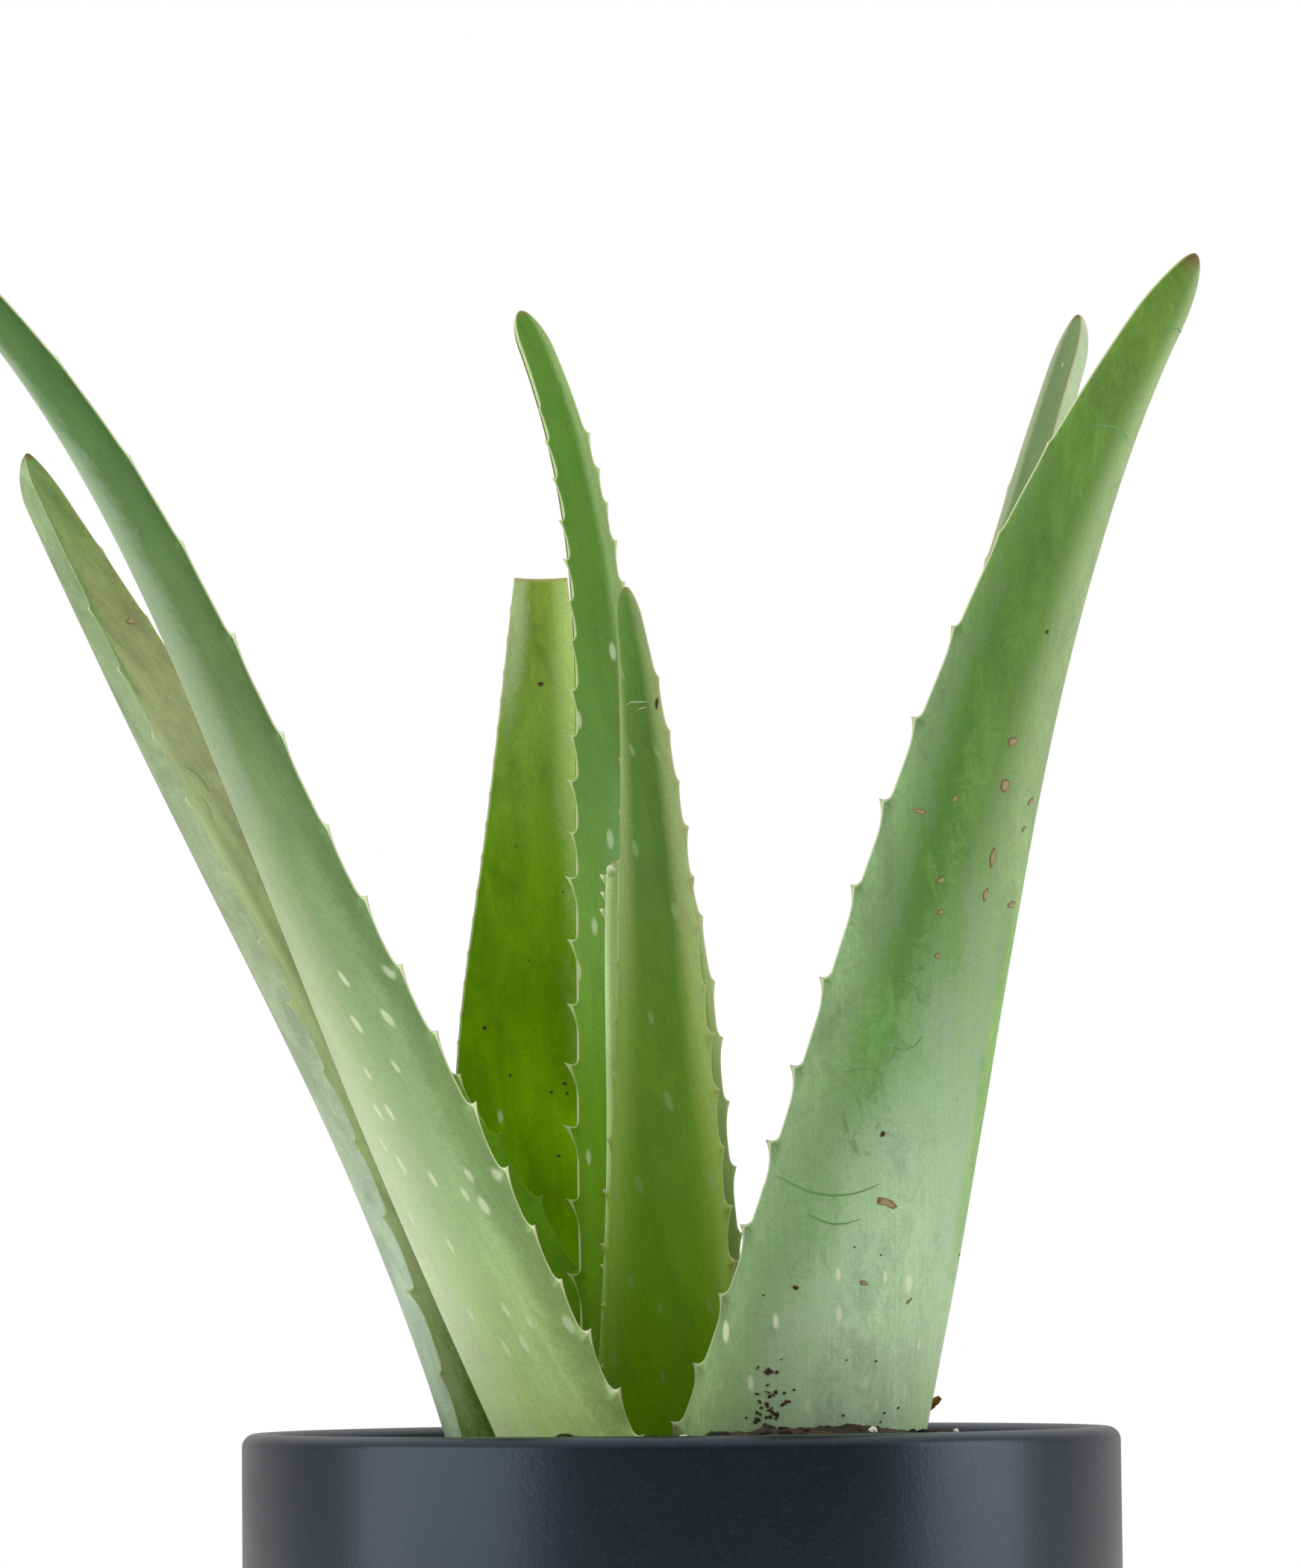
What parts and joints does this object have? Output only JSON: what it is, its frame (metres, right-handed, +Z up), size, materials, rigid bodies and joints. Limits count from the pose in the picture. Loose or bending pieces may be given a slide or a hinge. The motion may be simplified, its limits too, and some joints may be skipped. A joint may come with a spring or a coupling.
{
  "type": "potted aloe plant",
  "caption": "Young aloe: thick toothed leaves leaning out of a short stem, one cut off square, in soil in a plain dark cylinder pot.",
  "frame": {"origin": "centre of the pot's flat underside", "axes": "+Z up along the pot's axis, -Y to the plant's front, +X to the right seen from the front"},
  "size_m": [0.1964, 0.164, 0.3127],
  "materials": {
    "pot": "dark charcoal satin glaze, fine speckle",
    "soil": "dark brown moist potting soil with pale perlite grains",
    "stem": "pale green fleshy stem",
    "leaf_pale": "pale waxy green with a grey bloom, pale flecks and cream toothed margins",
    "leaf_mid": "mid green, fleshy, cream toothed margins",
    "leaf_deep": "saturated green inner face, slightly glossy"
  },
  "bodies": {
    "root": {"pot": "pot", "soil": "soil", "stem": "stem", "leaf_front_left": "leaf_pale", "leaf_front_right": "leaf_pale", "leaf_back_left": "leaf_pale", "leaf_back_right": "leaf_pale", "leaf_centre_front": "leaf_mid", "leaf_centre_tall": "leaf_mid", "leaf_young": "leaf_mid", "leaf_cut": "leaf_deep", "leaf_centre_back": "leaf_deep"}
  },
  "joints": []
}
